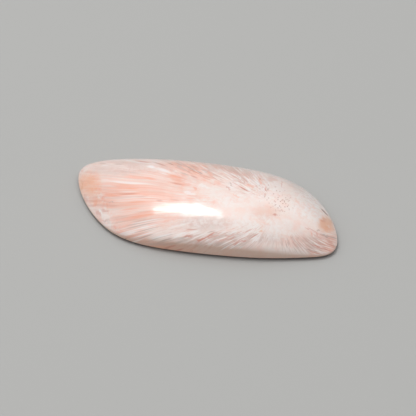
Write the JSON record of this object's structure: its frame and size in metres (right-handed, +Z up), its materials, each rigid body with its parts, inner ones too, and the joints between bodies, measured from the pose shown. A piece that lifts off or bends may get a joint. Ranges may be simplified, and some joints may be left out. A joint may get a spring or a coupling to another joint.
{
  "type": "scolecite cabochon",
  "caption": "Freeform domed cabochon of fibrous scolecite: skewed four-cornered outline, flat base, low upright wall, polished dome to be set or held",
  "frame": {"origin": "centre of the outline's length and width, on the flat base", "axes": "+X along the stone, +Y across it, +Z up out of the base through the dome"},
  "size_m": [0.0494, 0.024, 0.007],
  "materials": {
    "stone": "high polish, silky fibrous structure in salmon, cream and white"
  },
  "bodies": {
    "root": {"cabochon": "stone"}
  },
  "joints": []
}
